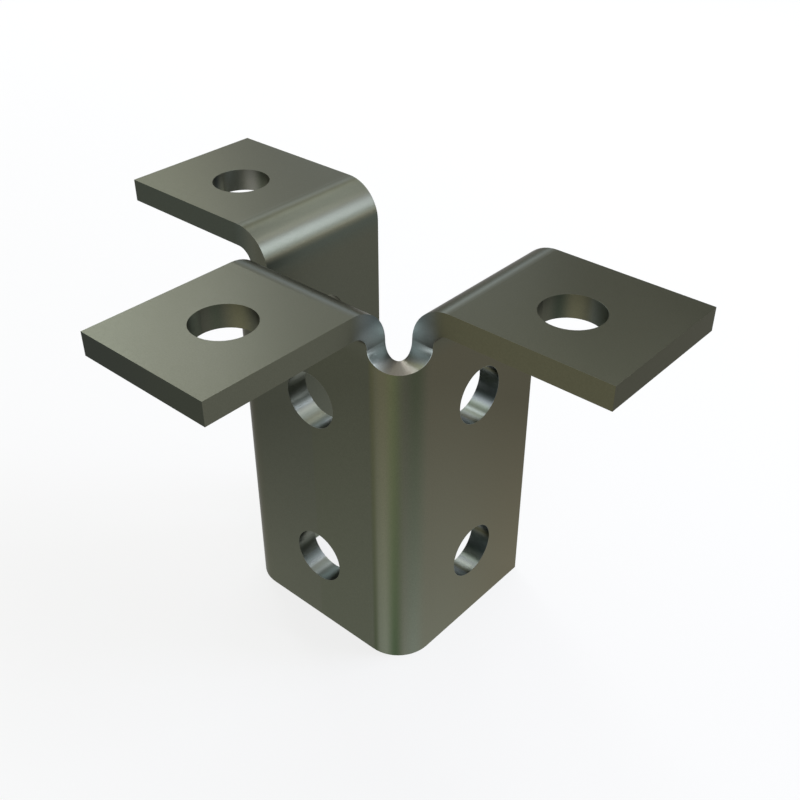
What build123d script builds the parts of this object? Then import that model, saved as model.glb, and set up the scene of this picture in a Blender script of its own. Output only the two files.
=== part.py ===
import os
from math import cos, pi, sin

from build123d import *

# Plate. Every fold has the same inside radius.
plate = 5.58
fold_radius = 3.97
neutral_share = 0.33  # depth of the neutral layer in a fold, as a share of the plate

# Channel that the strut slides into
inside_width = 44.05
channel_depth = 47.46  # from the web's outer face to the flanges' free edges

# Bolt holes
hole_diameter = 14.3
hole_pitch = 47.625
end_distance = 20.6375  # from a plate's end to the centre of its nearest hole

# Wings, folded outwards at the top of the web and of both flanges
wing_reach = 42.46  # from a wall's outer face to the end of its wing
wing_rise = 30.1625  # from the upper wall holes to the wings' top faces

# The origin is on the strut's axis, where the flange holes cross the middle plane, at the bottom end.
outer_radius = fold_radius + plate
height = end_distance + hole_pitch + wing_rise
fold_line = height - outer_radius
half_inside = inside_width / 2
half_outside = half_inside + plate
half_span = half_outside + wing_reach
mouth = end_distance
web_face = mouth - channel_depth
web_inside = web_face + plate
web_wing_end = web_face - wing_reach
web_wing_width = inside_width - 2 * fold_radius
flange_wing_width = channel_depth - outer_radius
wall_holes_middle = end_distance + hole_pitch / 2

# Corner relief: a round notch, punched in the flat plate before folding. It is as wide as a corner fold is
# long, measured along the neutral layer, so that it meets the side edges of both wings on their fold lines.
fold_length = pi / 2 * (fold_radius + neutral_share * plate)
relief_radius = fold_length / 2
relief_overrun = fold_radius / 4  # how far the notch's cutter passes both faces of the plate
relief_steps = 12


def relief_curve(side, radius):
    """The notch's half circle, rolled round a corner fold (side 1 or -1) at this radius from the fold's axis."""
    axis_x = half_inside - fold_radius
    axis_y = web_inside + fold_radius
    steps = [step / relief_steps for step in range(relief_steps + 1)]
    points = []
    for step in steps:
        turn = pi * step
        along = relief_radius * (1 - cos(turn))
        angle = pi / 2 * along / fold_length
        depth = relief_radius * sin(turn)
        around = (side * (axis_x + radius * sin(angle)), axis_y - radius * cos(angle))
        points.append((*around, fold_line - depth))
    speed = pi * relief_radius
    return Edge.make_spline(points, tangents=[(0, 0, -speed), (0, 0, speed)], parameters=steps, scale=False)


# What the punch takes out of the two corners. The rulings of each notch's floor stand square to the plate.
with BuildPart() as reliefs:
    for side in (1, -1):
        relief_floor = Face.make_surface_from_curves(
            relief_curve(side, fold_radius - relief_overrun), relief_curve(side, outer_radius + relief_overrun)
        )
        extrude(relief_floor, amount=2 * relief_radius, dir=(0, 0, 1))

with BuildPart() as wing_fitting:
    # Web, corner folds and flanges, up to the line where the wing folds start
    with BuildSketch(Plane.XY) as channel_section:
        with BuildLine():
            FilletPolyline(
                (-half_inside, mouth),
                (-half_inside, web_inside),
                (half_inside, web_inside),
                (half_inside, mouth),
                radius=fold_radius,
            )
            offset(amount=plate, side=Side.RIGHT)
        make_face()
    extrude(amount=fold_line)

    add(reliefs.part, mode=Mode.SUBTRACT)

    # Web wing, as wide as the web's flat
    with BuildSketch(Plane.YZ) as web_wing_section:
        with BuildLine():
            web_fold = CenterArc((web_inside - outer_radius, fold_line), outer_radius, 0, 90)
            Line(web_fold @ 1, (web_wing_end, height))
            offset(amount=plate, side=Side.LEFT)
        make_face()
    extrude(amount=web_wing_width / 2, both=True)

    # Flange wings, from the free edges back to the corner folds
    with BuildSketch(Plane.XZ.offset(-mouth)) as flange_wing_sections:
        with BuildLine():
            flange_fold = CenterArc((half_inside + outer_radius, fold_line), outer_radius, 180, -90)
            Line(flange_fold @ 1, (half_span, height))
            offset(amount=plate, side=Side.RIGHT)
        make_face()
        mirror(about=Plane.YZ)
    extrude(amount=flange_wing_width)

    # Two holes in the web, and two that go straight through both flanges
    web_plane = Plane(origin=(0, web_face, wall_holes_middle), x_dir=(1, 0, 0), z_dir=(0, -1, 0))
    flange_plane = Plane(origin=(half_outside, 0, wall_holes_middle), x_dir=(0, 1, 0), z_dir=(1, 0, 0))
    with Locations(web_plane, flange_plane):
        with GridLocations(0, hole_pitch, 1, 2):
            Hole(hole_diameter / 2)

    # One hole near the end of each wing
    with Locations(
        (half_span - end_distance, 0, height),
        (end_distance - half_span, 0, height),
        (0, web_wing_end + end_distance, height),
    ):
        Hole(hole_diameter / 2)

wing_fitting.part.label = "wing_fitting"

os.makedirs("parts", exist_ok=True)
export_step(wing_fitting.part, "parts/wing_fitting.step")
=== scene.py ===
"""The looks of the strut fitting: satin dark steel, on a pale floor in soft studio light."""

from math import cos, degrees, pi, radians, sin

import bpy
from mathutils import Matrix, Vector


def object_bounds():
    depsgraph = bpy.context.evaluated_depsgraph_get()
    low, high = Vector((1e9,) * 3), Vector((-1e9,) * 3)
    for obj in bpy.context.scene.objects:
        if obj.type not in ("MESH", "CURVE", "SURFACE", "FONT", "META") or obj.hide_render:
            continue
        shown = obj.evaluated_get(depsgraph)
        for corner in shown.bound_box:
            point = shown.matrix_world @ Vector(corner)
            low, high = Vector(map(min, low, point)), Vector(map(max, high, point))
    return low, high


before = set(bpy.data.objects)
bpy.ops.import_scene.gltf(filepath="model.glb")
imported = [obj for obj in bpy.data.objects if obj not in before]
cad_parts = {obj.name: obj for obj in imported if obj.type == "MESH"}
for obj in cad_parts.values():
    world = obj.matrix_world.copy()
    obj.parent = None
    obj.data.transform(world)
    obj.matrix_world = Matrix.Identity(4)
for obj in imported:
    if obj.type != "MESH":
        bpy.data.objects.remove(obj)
cad_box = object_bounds()

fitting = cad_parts["wing_fitting"]

# Camera, in metres and degrees, with its lens in millimetres. Azimuth 0 looks along +Y, and elevation is
# how far the camera looks down.
camera_place = (0.144299, -0.160386, 0.204472)
camera_azimuth = 41.28
camera_elevation = 34.85
camera_lens = 47.55
camera_clip_start = 0.01

# Floor and world. The glow is the share of plain white in what the camera and the steel see of the floor.
floor_radius = 3.0
floor_corners = 96
floor_colour = (0.95, 0.95, 0.95)
floor_glow = 0.8
world_level = 0.37

# Softboxes: azimuth, elevation, width and height as seen from the part in degrees, brightness and colour
lamp_aim = (0.0, -0.01, 0.07)
lamp_distance = 1.0
softboxes = {
    "right_key": (42, 28, 12, 24, 11.3, (0.71, 0.77, 1.0)),
    "right_soft": (56, 28, 14, 24, 4.8, (0.74, 0.77, 1.0)),
    "right_edge": (29, 28, 12, 24, 4.3, (0.82, 0.95, 1.0)),
    "right_low": (42, 10, 16, 10, 4.6, (0.88, 0.91, 1.0)),
    "right_top": (57, 46, 14, 12, 3.4, (0.99, 0.95, 1.0)),
    "back_strip": (90, 51, 42, 12, 3.4, (0.92, 0.95, 1.0)),
    "back_high": (122, 44, 14, 14, 1.4, (1.0, 0.97, 0.84)),
    "back_low": (126, 24, 12, 16, 1.9, (0.77, 0.81, 1.0)),
    "back_glint": (132, 13, 12, 6, 2.4, (0.62, 0.77, 1.0)),
    "back_horizon": (130, 3, 14, 8, 0.35, (1.0, 0.93, 0.78)),
    "left_side": (138, 28, 12, 24, 1.5, (0.82, 0.85, 1.0)),
    "left_key": (150, 34, 12, 12, 4.9, (0.84, 0.85, 1.0)),
    "left_low": (150, 22, 12, 12, 2.4, (0.97, 1.0, 0.98)),
    "left_top": (150, 46, 12, 12, 1.9, (0.93, 0.95, 1.0)),
    "left_edge": (158, 28, 8, 24, 3.0, (0.93, 0.99, 1.0)),
    "left_high": (158, 50, 36, 18, 0.6, (1.0, 0.98, 0.3)),
    "front_high": (215, 62, 30, 16, 0.9, (0.92, 1.0, 0.70)),
}

# The fitting's ends, from the frame, in millimetres. All sizes and places from here on are in millimetres.
per_metre = 1000
low_corner, high_corner = cad_box
half_span = per_metre * high_corner[0]
mouth = per_metre * high_corner[1]
wing_top = per_metre * high_corner[2]
web_wing_end = per_metre * low_corner[1]

# Plate, wings and bolt holes, as in the part's source
plate = 5.58
fold_radius = 3.97
neutral_share = 0.33  # depth of the neutral layer in a fold, as a share of the plate
wing_reach = 42.46
hole_radius = 7.15
hole_pitch = 47.625
end_distance = 20.6375

# Where the fitting's features lie. The painted light, shade and reflections on the steel are placed by
# these.
half_outside = half_span - wing_reach
half_inside = half_outside - plate
outer_radius = fold_radius + plate
fold_line = wing_top - outer_radius
wall_holes_middle = end_distance + hole_pitch / 2
flange_wing_hole = half_span - end_distance
web_wing_hole = web_wing_end + end_distance
corner_axis_x = half_inside - fold_radius
corner_axis_y = web_wing_end + wing_reach + outer_radius
corner_length = pi / 2 * (fold_radius + neutral_share * plate)
notch_radius = corner_length / 2
margin = 0.02  # how far a mask reaches past the face or edge that it marks

untinted = (1, 1, 1)

# Steel: the skin of the wings, its colour at grazing angles, its roughness and its grain
wing_colour = (0.078, 0.081, 0.060)
grazing_colour = (0.55, 0.54, 0.52)
skin_roughness = 0.30
mottle_size = 0.7
mottle_depth = 0.012
grain_size = 0.30
grain_range = (0.94, 1.06)
relief_size = 0.35
relief_strength = 0.5
relief_depth = 0.000004  # in metres
noise_detail = 2.0
noise_roughness = 0.6
noise_spread = (0.25, 0.75)  # what the noise texture gives is spread out from this range

# The walls' skin, with painted light, shade and reflections on it. The web is painted darker than the
# flanges, and the flanges turn browner away from the corner folds and from the bottom end, as painted
# reflections.
# The skin is painted darker towards the top, and with distance from the right corner fold, as painted
# shade.
web_painted_shade = (0.120, 0.128, 0.097)
flange_painted_light = (0.179, 0.186, 0.140)
brown_painted_reflection = (0.166, 0.156, 0.108)
darkening = 0.0052
darkening_spread = 60.0
darkest = 0.52
wing_skin_fade = (85.0, 91.0)  # heights between which the walls' skin turns into the wings'

# Painted reflections: light and dark bands down the right corner fold: place and half width, as shares of
# the way from the web at 0 to the flange at 1, and tints at the bottom end and at the fold line
corner_painted_reflections = {
    "brown": (0.06, 0.09, (0.60, 0.66, 0.55), (1.02, 1.00, 0.85)),
    "pale": (0.22, 0.28, (1.33, 1.41, 1.38), (1.68, 1.56, 1.25)),
    "green": (0.41, 0.17, (0.47, 0.62, 0.45), (1.19, 1.32, 1.02)),
    "dark": (0.72, 0.25, (1.05, 1.13, 1.17), (0.68, 0.80, 0.70)),
}

# Painted light: tints that lighten the wings' tops towards their ends, with fades along x + y
right_end_painted_light = (1.26, 1.25, 1.25)
right_end_fade = (46.0, 78.0)
left_end_painted_light = (1.08, 1.09, 1.10)
left_end_fade = (-60.0, -86.0)

# Painted light and shade on the wings' sheared edges, each face lighter or darker as light falls on it. The
# web wing's end has one for its left corner and one for its right.
web_wing_end_painted_shade = ((0.46, 0.52, 0.61), (0.59, 0.64, 0.67))
web_wing_side_painted_light = (1.14, 1.14, 1.14)
web_wing_side_fade = (-29.0, -33.0)
left_wing_front_painted_shade = (0.67, 0.74, 0.79)
right_wing_front_painted_light = (1.15, 1.08, 0.87)
wing_front_fade = (25.6, 31.6)
flange_wing_end_painted_shade = (0.83, 0.83, 0.83)

# Painted shade on the channel's inner faces, and a painted highlight on the upper half of the left wing's
# fold
inner_painted_shade = (0.86, 0.95, 1.03)
inner_front = -22.0
inner_fade = (half_inside + 0.6, half_inside)
left_fold_painted_highlight = (1.12, 1.13, 1.17)
left_fold_outer_fade = (-33.1, -30.6)
left_fold_inner_fade = (-24.1, -27.1)

# Painted glints and painted shade in lines along the wings' folds: place, half width and tint. The places
# are along x on the crests of the flange folds, along y on that of the web fold, and up z at the foot of
# the left fold.
flange_fold_painted_glints_and_shade = (
    (-30.15, 1.1, (1.40, 1.43, 1.54)),
    (30.1, 1.2, (1.50, 1.54, 1.66)),
    (26.2, 2.2, (0.50, 0.50, 0.47)),
)
web_fold_painted_glint = ((-29.3, 1.2, (1.24, 1.27, 1.40)),)
left_foot_painted_light = ((91.6, 1.2, (1.34, 1.25, 1.16)),)
crest_depth = 5.0

# Painted light in the notches and the bolt holes, which are coloured brighter than the skin. A notch's
# painted light is dull at its bottom, brightest at the fold line and duller again up the sides of the
# wings' folds.
cut_face_painted_light = (0.22, 0.25, 0.25)
notch_bottom_painted_light = (0.14, 0.13, 0.105)
notch_painted_light_peak = 2.9
notch_painted_light_low = 0.7
notch_bottom_fade = (-notch_radius, -0.4 * notch_radius)  # heights above the fold line
notch_side_fade = (0.5, 6.5)  # heights above the fold line
notch_side_start = fold_line - 0.3
notch_side_margin = 0.06
notch_web_fade = (-32.0, -25.0)
notch_flange_fade = (30.0, 22.0)
notch_floor_fade = (notch_radius + 4 * margin, notch_radius + 2 * margin)
notch_end = 0.0005  # share of a corner fold that is left out at both ends of a notch's floor

# Painted reflections: light and dark bands along the walls of the bolt holes: angle round the hole's axis
# and half width, in degrees, and tint
web_wing_bore_reflections = (
    (115, 35, (1.70, 1.60, 1.30)),
    (153, 18, (0.84, 0.93, 0.88)),
    (-160, 28, (2.4, 2.6, 2.6)),
)
left_wing_bore_reflections = (
    (92, 22, (0.72, 0.76, 0.74)),
    (120, 32, (1.70, 1.65, 1.90)),
    (158, 24, (2.1, 2.2, 2.6)),
    (-158, 22, (0.45, 0.50, 0.58)),
)
right_wing_bore_reflections = (
    (60, 40, (3.1, 3.4, 4.0)),
    (115, 35, (1.65, 1.55, 1.30)),
    (145, 22, (0.62, 0.72, 0.70)),
)
web_upper_bore_reflections = (
    (-140, 9, (2.3, 2.3, 2.4)),
    (-78, 28, (2.4, 2.4, 2.8)),
    (-105, 12, (0.75, 0.72, 0.65)),
)
web_lower_bore_reflections = (
    (-131, 16, (4.5, 4.6, 5.6)),
    (-85, 29, (2.3, 2.35, 2.7)),
)
flange_upper_bore_reflections = (
    (-46, 16, (3.6, 3.5, 4.0)),
    (-71, 7, (2.3, 2.3, 2.6)),
    (-95, 15, (0.42, 0.38, 0.28)),
    (0, 16, (1.5, 1.4, 1.35)),
    (24, 16, (0.65, 0.58, 0.38)),
)
flange_lower_bore_reflections = (
    (-50, 10, (1.7, 1.6, 1.65)),
    (-73, 17, (2.5, 2.4, 2.6)),
    (-96, 16, (0.30, 0.28, 0.20)),
    (3, 25, (0.38, 0.34, 0.21)),
)
# Painted shade and light on the walls of the bolt holes: darker in the web and the left flange, lighter in
# the left wing
web_hole_painted_shade = (0.69, 0.66, 0.56)
left_flange_hole_painted_shade = (0.50, 0.46, 0.36)
left_wing_hole_painted_light = (1.6, 1.6, 1.6)
bore_fade = (hole_radius + margin, hole_radius + margin / 4)
bore_roughness = 0.45


def direction(azimuth, elevation):
    """The unit vector towards a place in the sky. Azimuth turns from +X to +Y."""
    turn, rise = radians(azimuth), radians(elevation)
    return Vector((cos(turn) * cos(rise), sin(turn) * cos(rise), sin(rise)))


def pose(place, azimuth, elevation):
    """The matrix of a camera or lamp that stands at a place, with its back to this direction in the sky."""
    back = direction(azimuth, elevation)
    right = direction(azimuth + 90, 0)
    up = back.cross(right)
    return Matrix.Translation(place) @ Matrix((right, up, back)).transposed().to_4x4()


def make_camera():
    camera = bpy.data.objects.new("camera", bpy.data.cameras.new("camera"))
    bpy.context.collection.objects.link(camera)
    camera.data.lens = camera_lens
    camera.data.clip_start = camera_clip_start
    camera.matrix_world = pose(camera_place, camera_azimuth - 90, camera_elevation)
    bpy.context.scene.camera = camera


def floor_material():
    """A matt pale floor that also glows, for the camera and in the steel only."""
    material = bpy.data.materials.new("floor")
    material.use_nodes = True
    tree = material.node_tree
    tree.nodes.clear()
    output = tree.nodes.new("ShaderNodeOutputMaterial")
    diffuse = add_node(tree, "ShaderNodeBsdfDiffuse", Color=(*floor_colour, 1))
    glow = add_node(tree, "ShaderNodeEmission", Color=(1, 1, 1, 1), Strength=1.0)
    blend = tree.nodes.new("ShaderNodeMixShader")
    rays = tree.nodes.new("ShaderNodeLightPath").outputs
    seen = calculate(tree, "ADD", rays["Is Camera Ray"], rays["Is Glossy Ray"])
    seen = calculate(tree, "ADD", seen, rays["Is Transmission Ray"])
    tree.links.new(calculate(tree, "MULTIPLY", seen, floor_glow), blend.inputs["Fac"])
    tree.links.new(diffuse.outputs[0], blend.inputs[1])
    tree.links.new(glow.outputs[0], blend.inputs[2])
    tree.links.new(blend.outputs[0], output.inputs["Surface"])
    return material


def make_floor():
    bpy.ops.mesh.primitive_circle_add(vertices=floor_corners, radius=floor_radius, fill_type="NGON")
    floor = bpy.context.object
    floor.name = "floor"
    floor.data.materials.append(floor_material())


def make_world():
    world = bpy.data.worlds.new("studio")
    world.use_nodes = True
    background = world.node_tree.nodes["Background"]
    background.inputs["Color"].default_value = (1, 1, 1, 1)
    background.inputs["Strength"].default_value = world_level
    bpy.context.scene.world = world


def make_softbox(name, azimuth, elevation, width, height, brightness, colour):
    """An area lamp that shines on the fitting and that the camera doesn't see."""
    lamp = bpy.data.lights.new(name, "AREA")
    lamp.shape = "RECTANGLE"
    lamp.size = radians(width) * lamp_distance
    lamp.size_y = radians(height) * lamp_distance
    lamp.energy = brightness * pi * lamp.size * lamp.size_y
    lamp.color = colour
    box = bpy.data.objects.new(name, lamp)
    bpy.context.collection.objects.link(box)
    place = Vector(lamp_aim) + lamp_distance * direction(azimuth, elevation)
    box.matrix_world = pose(place, azimuth, elevation)
    box.visible_camera = False


def add_node(tree, kind, **sockets):
    """A new node with the given inputs set."""
    node = tree.nodes.new(kind)
    for name, value in sockets.items():
        node.inputs[name].default_value = value
    return node


def feed(tree, socket, value):
    """Links another node's output to a socket, or sets the socket to a number or a colour."""
    if isinstance(value, bpy.types.NodeSocket):
        tree.links.new(value, socket)
    elif socket.type == "RGBA":
        socket.default_value = (*value, 1)
    else:
        socket.default_value = value


def calculate(tree, operation, *values):
    """The output of a Math node. Each value is a number or another node's output."""
    node = tree.nodes.new("ShaderNodeMath")
    node.operation = operation
    for socket, value in zip(node.inputs, values):
        feed(tree, socket, value)
    return node.outputs[0]


def above(tree, value, limit):
    """1 where the value is greater than the limit, and 0 elsewhere."""
    return calculate(tree, "GREATER_THAN", value, limit)


def below(tree, value, limit):
    """1 where the value is less than the limit, and 0 elsewhere."""
    return calculate(tree, "LESS_THAN", value, limit)


def within(tree, value, low, high):
    """1 where the value is between two numbers, and 0 elsewhere."""
    return all_of(tree, above(tree, value, low), below(tree, value, high))


def all_of(tree, *masks):
    """The product of some masks, which is 1 where all of them are 1."""
    result = masks[0]
    for mask in masks[1:]:
        result = calculate(tree, "MULTIPLY", result, mask)
    return result


def span(tree, a, b):
    """The length of the vector with these two components."""
    squares = calculate(tree, "MULTIPLY", a, a), calculate(tree, "MULTIPLY", b, b)
    return calculate(tree, "SQRT", calculate(tree, "ADD", *squares))


def fade(tree, value, start, end, low=0.0, high=1.0):
    """Goes smoothly from low to high as the value goes from start to end."""
    node = tree.nodes.new("ShaderNodeMapRange")
    node.interpolation_type = "SMOOTHSTEP"
    tree.links.new(value, node.inputs["Value"])
    for name, number in (("From Min", start), ("From Max", end), ("To Min", low), ("To Max", high)):
        node.inputs[name].default_value = number
    return node.outputs[0]


def hump(tree, value, place, half_width):
    """1 where the value is at a place, fading out to both sides."""
    away = calculate(tree, "ABSOLUTE", calculate(tree, "SUBTRACT", value, place))
    return fade(tree, away, half_width, 0.0)


def noise(tree, place, size, low, high):
    """Noise with blobs of about this size, as a number from low to high."""
    pattern = add_node(
        tree, "ShaderNodeTexNoise", Scale=1 / size, Detail=noise_detail, Roughness=noise_roughness
    )
    tree.links.new(place, pattern.inputs["Vector"])
    return fade(tree, pattern.outputs["Fac"], *noise_spread, low, high)


def mixed(tree, factor, first, second):
    """A blend of two colours, where factor 0 gives the first one and 1 the second."""
    node = tree.nodes.new("ShaderNodeMix")
    node.data_type = "RGBA"
    tree.links.new(factor, node.inputs["Factor"])
    colour_inputs = node.inputs[6], node.inputs[7]
    for socket, value in zip(colour_inputs, (first, second)):
        feed(tree, socket, value)
    return node.outputs[2]


def tinted(tree, colour, tint):
    """A colour times a tint. Each is a colour or another node's output."""
    node = tree.nodes.new("ShaderNodeVectorMath")
    node.operation = "MULTIPLY"
    for socket, value in zip(node.inputs, (colour, tint)):
        feed(tree, socket, value)
    return node.outputs[0]


def tinted_where(tree, mask, colour, tint):
    """A colour that is tinted as far as the mask says, from 0 to 1."""
    return tinted(tree, colour, mixed(tree, mask, untinted, tint))


def banded(tree, value, bands, tint=untinted):
    """A tint with bands or lines in it. Each has a place, a half width and a tint of its own."""
    for place, half_width, band_tint in bands:
        tint = tinted_where(tree, hump(tree, value, place, half_width), tint, band_tint)
    return tint


def bore_mask(tree, first_distance, second_distance):
    """1 on the walls of bolt holes, given the distances from two axes."""
    return fade(tree, calculate(tree, "MINIMUM", first_distance, second_distance), *bore_fade)


def wall_bore_mask(tree, x, y, z):
    """1 on the walls of the bolt holes in the web and the flanges."""
    from_middle = calculate(tree, "ABSOLUTE", calculate(tree, "SUBTRACT", z, wall_holes_middle))
    rise = calculate(tree, "SUBTRACT", from_middle, hole_pitch / 2)
    return bore_mask(tree, span(tree, x, rise), span(tree, y, rise))


def wing_bore_mask(tree, x, y):
    """1 on the walls of the bolt holes in the wings."""
    flange_x = calculate(tree, "SUBTRACT", calculate(tree, "ABSOLUTE", x), flange_wing_hole)
    web_y = calculate(tree, "SUBTRACT", y, web_wing_hole)
    return bore_mask(tree, span(tree, flange_x, y), span(tree, x, web_y))


def degrees_round(tree, across, rise):
    """The angle round a bolt hole's axis, in degrees."""
    return calculate(tree, "MULTIPLY", calculate(tree, "ARCTAN2", rise, across), degrees(1))


def wall_bore_painted_reflections(tree, x, y, z):
    """The painted reflections and painted light on the walls of the bolt holes in the web and the flanges.
    """
    upper = above(tree, z, wall_holes_middle)
    centre_z = calculate(tree, "MULTIPLY_ADD", upper, hole_pitch, end_distance)
    rise = calculate(tree, "SUBTRACT", z, centre_z)
    web_angle = degrees_round(tree, x, rise)
    web_lower = banded(tree, web_angle, web_lower_bore_reflections, web_hole_painted_shade)
    web = mixed(tree, upper, web_lower, banded(tree, web_angle, web_upper_bore_reflections, web_hole_painted_shade))
    flange_angle = degrees_round(tree, y, rise)
    flange_lower = banded(tree, flange_angle, flange_lower_bore_reflections)
    flange = mixed(tree, upper, flange_lower, banded(tree, flange_angle, flange_upper_bore_reflections))
    on_right = above(tree, x, corner_axis_x)
    on_left = below(tree, x, -corner_axis_x)
    tint = mixed(tree, on_left, mixed(tree, on_right, web, flange), left_flange_hole_painted_shade)
    return tinted(tree, tint, cut_face_painted_light)


def wing_bore_painted_reflections(tree, x, y):
    """The tint of the painted reflections on the walls of the bolt holes in the wings."""
    on_flange = above(tree, calculate(tree, "ABSOLUTE", x), corner_axis_x)
    side = calculate(tree, "MULTIPLY", calculate(tree, "SIGN", x), on_flange)
    centre_x = calculate(tree, "MULTIPLY", side, flange_wing_hole)
    centre_y = calculate(tree, "MULTIPLY_ADD", on_flange, -web_wing_hole, web_wing_hole)
    across = calculate(tree, "SUBTRACT", x, centre_x)
    angle = degrees_round(tree, across, calculate(tree, "SUBTRACT", y, centre_y))
    left = banded(tree, angle, left_wing_bore_reflections, left_wing_hole_painted_light)
    flange = mixed(tree, above(tree, x, 0.0), left, banded(tree, angle, right_wing_bore_reflections))
    return mixed(tree, on_flange, banded(tree, angle, web_wing_bore_reflections), flange)


def corner_turn(tree, x, y):
    """How far round a corner fold a point is, from 0 at the web to 1 at the flange."""
    across = calculate(tree, "SUBTRACT", calculate(tree, "ABSOLUTE", x), corner_axis_x)
    out = calculate(tree, "SUBTRACT", corner_axis_y, y)
    turn = calculate(tree, "DIVIDE", calculate(tree, "ARCTAN2", across, out), pi / 2)
    return calculate(tree, "MINIMUM", calculate(tree, "MAXIMUM", turn, 0.0), 1.0)


def notch_floor_mask(tree, z, turn):
    """1 on the round floors of the two corner notches."""
    along = calculate(tree, "SUBTRACT", calculate(tree, "MULTIPLY", turn, corner_length), notch_radius)
    down = calculate(tree, "SUBTRACT", fold_line, z)
    near = fade(tree, span(tree, along, down), *notch_floor_fade)
    return all_of(tree, near, above(tree, down, 0.0), within(tree, turn, notch_end, 1 - notch_end))


def notch_side_mask(tree, x, y, z):
    """1 on the side edges of the wings' folds next to the right notch."""
    web_side = all_of(
        tree,
        within(tree, x, corner_axis_x - margin, corner_axis_x + notch_side_margin),
        below(tree, y, corner_axis_y - margin),
        fade(tree, y, *notch_web_fade),
    )
    flange_side = all_of(
        tree,
        within(tree, y, corner_axis_y - notch_side_margin, corner_axis_y + margin),
        above(tree, x, corner_axis_x + margin),
        fade(tree, x, *notch_flange_fade),
    )
    sides = calculate(tree, "MAXIMUM", web_side, flange_side)
    return all_of(tree, above(tree, z, notch_side_start), sides)


def notch_painted_light(tree, z):
    """The painted light on a notch."""
    height = calculate(tree, "SUBTRACT", z, fold_line)
    level = fade(tree, height, *notch_side_fade, notch_painted_light_peak, notch_painted_light_low)
    above_bottom = fade(tree, height, *notch_bottom_fade)
    return mixed(tree, above_bottom, notch_bottom_painted_light, tinted(tree, cut_face_painted_light, level))


def wall_painted_shade(tree, x, y, z):
    """The walls' painted shade: darker towards the top, and with distance from the right corner fold."""
    across = calculate(tree, "SUBTRACT", x, corner_axis_x)
    out = calculate(tree, "SUBTRACT", y, corner_axis_y)
    spread = calculate(tree, "MULTIPLY_ADD", span(tree, across, out), 1 / darkening_spread, 1.0)
    shade = calculate(tree, "MULTIPLY", calculate(tree, "MULTIPLY", z, spread), darkening)
    return calculate(tree, "SUBTRACT", 1.0, calculate(tree, "MINIMUM", shade, 1 - darkest))


def wall_skin(tree, x, y, z, turn):
    """The colour of the walls and the corner folds, with painted light, shade and reflections on them."""
    rise = calculate(tree, "MINIMUM", calculate(tree, "DIVIDE", z, fold_line), 1.0)
    # The flanges are painted lighter near the corner folds and the bottom end, and browner towards the
    # mouth and the top
    painted_light_share = all_of(tree, fade(tree, y, mouth, corner_axis_y), calculate(tree, "SUBTRACT", 1.0, rise))
    colour = mixed(tree, turn, web_painted_shade, mixed(tree, painted_light_share, brown_painted_reflection, flange_painted_light))
    on_right = above(tree, x, 0.0)
    # Painted reflections: light and dark bands down the right corner fold
    for place, half_width, bottom_tint, top_tint in corner_painted_reflections.values():
        painted_band = all_of(tree, on_right, hump(tree, turn, place, half_width))
        colour = tinted_where(tree, painted_band, colour, mixed(tree, rise, bottom_tint, top_tint))
    return tinted(tree, colour, wall_painted_shade(tree, x, y, z))


def end_painted_light(tree, x, y, z):
    """Masks and tints of the painted light on the wings' tops towards their ends."""
    on_top = above(tree, z, wing_top - margin)
    along = calculate(tree, "ADD", x, y)
    return [
        (all_of(tree, on_top, fade(tree, along, *right_end_fade)), right_end_painted_light),
        (all_of(tree, on_top, fade(tree, along, *left_end_fade)), left_end_painted_light),
    ]


def edge_painted_light_and_shade(tree, x, y, z):
    """Masks and tints of the painted light and shade on the wings' sheared edges."""
    wide = calculate(tree, "ABSOLUTE", x)
    front = all_of(
        tree,
        within(tree, y, corner_axis_y - margin, corner_axis_y + margin),
        fade(tree, wide, *wing_front_fade),
        above(tree, z, fold_line),
    )
    on_side = within(tree, wide, corner_axis_x - margin, corner_axis_x + margin)
    across_end = fade(tree, x, -corner_axis_x, corner_axis_x)
    return [
        (below(tree, y, web_wing_end + margin), mixed(tree, across_end, *web_wing_end_painted_shade)),
        (all_of(tree, on_side, fade(tree, y, *web_wing_side_fade)), web_wing_side_painted_light),
        (all_of(tree, front, below(tree, x, 0.0)), left_wing_front_painted_shade),
        (all_of(tree, front, above(tree, x, 0.0)), right_wing_front_painted_light),
        (above(tree, wide, half_span - margin), flange_wing_end_painted_shade),
    ]


def fold_painted_light_and_shade(tree, x, y, z):
    """Masks and tints of the painted highlights, glints and shade on the wings' folds, and of the painted
    shade on the channel's inner faces below them.
    """
    wide = calculate(tree, "ABSOLUTE", x)
    crest = above(tree, z, wing_top - crest_depth)
    on_flange = above(tree, y, corner_axis_y + margin)
    on_web = below(tree, wide, corner_axis_x - margin)
    left_outside = fade(tree, x, *left_fold_outer_fade)
    left_inside = fade(tree, x, *left_fold_inner_fade)
    return [
        (all_of(tree, left_outside, left_inside, above(tree, z, fold_line)), left_fold_painted_highlight),
        (all_of(tree, crest, on_flange), banded(tree, x, flange_fold_painted_glints_and_shade)),
        (all_of(tree, crest, on_web), banded(tree, y, web_fold_painted_glint)),
        (all_of(tree, within(tree, x, -half_outside, 0.0), on_flange), banded(tree, z, left_foot_painted_light)),
        (all_of(tree, fade(tree, wide, *inner_fade), above(tree, y, inner_front)), inner_painted_shade),
    ]


def skin(tree, x, y, z, turn):
    """The colour of the plate's skin, with the painted light, shade and reflections on it."""
    colour = mixed(tree, fade(tree, z, *wing_skin_fade), wall_skin(tree, x, y, z, turn), wing_colour)
    tints = end_painted_light(tree, x, y, z) + edge_painted_light_and_shade(tree, x, y, z) + fold_painted_light_and_shade(tree, x, y, z)
    for mask, tint in tints:
        colour = tinted_where(tree, mask, colour, tint)
    return colour


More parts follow.
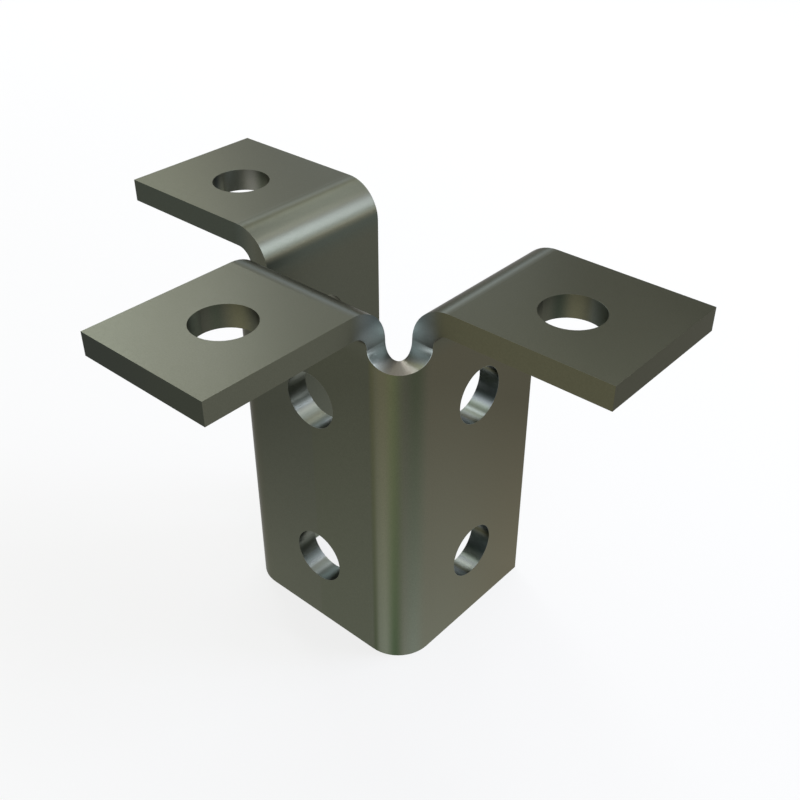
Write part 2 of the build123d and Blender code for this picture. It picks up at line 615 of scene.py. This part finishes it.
def steel_colour(tree, x, y, z, wing_bore):
    """The colour of the skin, the notches and the bolt holes, painted light and reflections included,
    without the grain.
    """
    turn = corner_turn(tree, x, y)
    notch = calculate(tree, "MAXIMUM", notch_floor_mask(tree, z, turn), notch_side_mask(tree, x, y, z))
    colour = mixed(tree, notch, skin(tree, x, y, z, turn), notch_painted_light(tree, z))
    colour = mixed(tree, wall_bore_mask(tree, x, y, z), colour, wall_bore_painted_reflections(tree, x, y, z))
    return tinted_where(tree, wing_bore, colour, wing_bore_painted_reflections(tree, x, y))


def steel_roughness(tree, place, wing_bore):
    """The slightly mottled roughness of the skin, and that of the walls of the wings' bolt holes."""
    mottled = noise(tree, place, mottle_size, skin_roughness - mottle_depth, skin_roughness + mottle_depth)
    return calculate(tree, "MULTIPLY_ADD", wing_bore, bore_roughness - skin_roughness, mottled)


def steel_relief(tree, place):
    """The fine relief of the steel's face."""
    relief = add_node(tree, "ShaderNodeBump", Strength=relief_strength, Distance=relief_depth)
    tree.links.new(noise(tree, place, relief_size, 0.0, 1.0), relief.inputs["Height"])
    return relief.outputs[0]


def place_in_millimetres(tree):
    """The place on the fitting that is shaded, counted from its origin."""
    scaled = tree.nodes.new("ShaderNodeVectorMath")
    scaled.operation = "SCALE"
    scaled.inputs["Scale"].default_value = per_metre
    tree.links.new(tree.nodes.new("ShaderNodeTexCoord").outputs["Object"], scaled.inputs[0])
    return scaled.outputs[0]


def steel_material():
    material = bpy.data.materials.new("satin_steel")
    material.use_nodes = True
    tree = material.node_tree
    shader = tree.nodes["Principled BSDF"]
    shader.inputs["Metallic"].default_value = 1.0
    shader.inputs["Specular Tint"].default_value = (*grazing_colour, 1)

    place = place_in_millimetres(tree)
    parts = tree.nodes.new("ShaderNodeSeparateXYZ")
    tree.links.new(place, parts.inputs[0])
    x, y, z = parts.outputs
    wing_bore = wing_bore_mask(tree, x, y)
    grain = noise(tree, place, grain_size, *grain_range)
    tree.links.new(tinted(tree, steel_colour(tree, x, y, z, wing_bore), grain), shader.inputs["Base Color"])
    tree.links.new(steel_roughness(tree, place, wing_bore), shader.inputs["Roughness"])
    tree.links.new(steel_relief(tree, place), shader.inputs["Normal"])
    return material


make_camera()
make_floor()
make_world()
for name, values in softboxes.items():
    make_softbox(name, *values)
fitting.material_slots[0].material = steel_material()

bpy.context.scene.view_settings.view_transform = "Standard"
